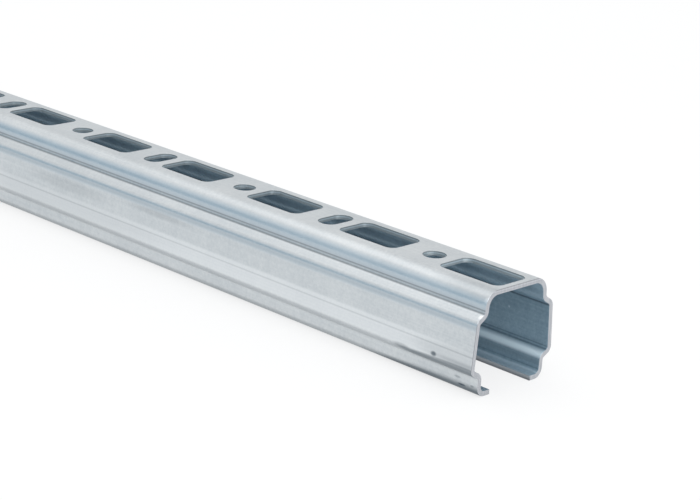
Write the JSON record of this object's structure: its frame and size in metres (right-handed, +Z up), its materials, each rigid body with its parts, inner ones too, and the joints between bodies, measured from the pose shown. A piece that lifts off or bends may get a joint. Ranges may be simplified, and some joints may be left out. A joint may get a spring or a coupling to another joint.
{
  "type": "slotted mounting rail",
  "caption": "Straight C-shaped steel mounting rail with stepped side walls, inturned lips and a back punched with long slots and small round and crosswise holes.",
  "frame": {"origin": "middle of the footprint, on the floor that the two lips stand on", "axes": "+X along the rail towards the end where the slot pattern starts, +Y across it, +Z up through the slotted back"},
  "size_m": [2, 0.042, 0.038],
  "materials": {
    "galvanised_steel": "pre-galvanised sheet, satin, with faint rolling marks"
  },
  "bodies": {
    "root": {"mounting_rail": "galvanised_steel"}
  },
  "joints": []
}
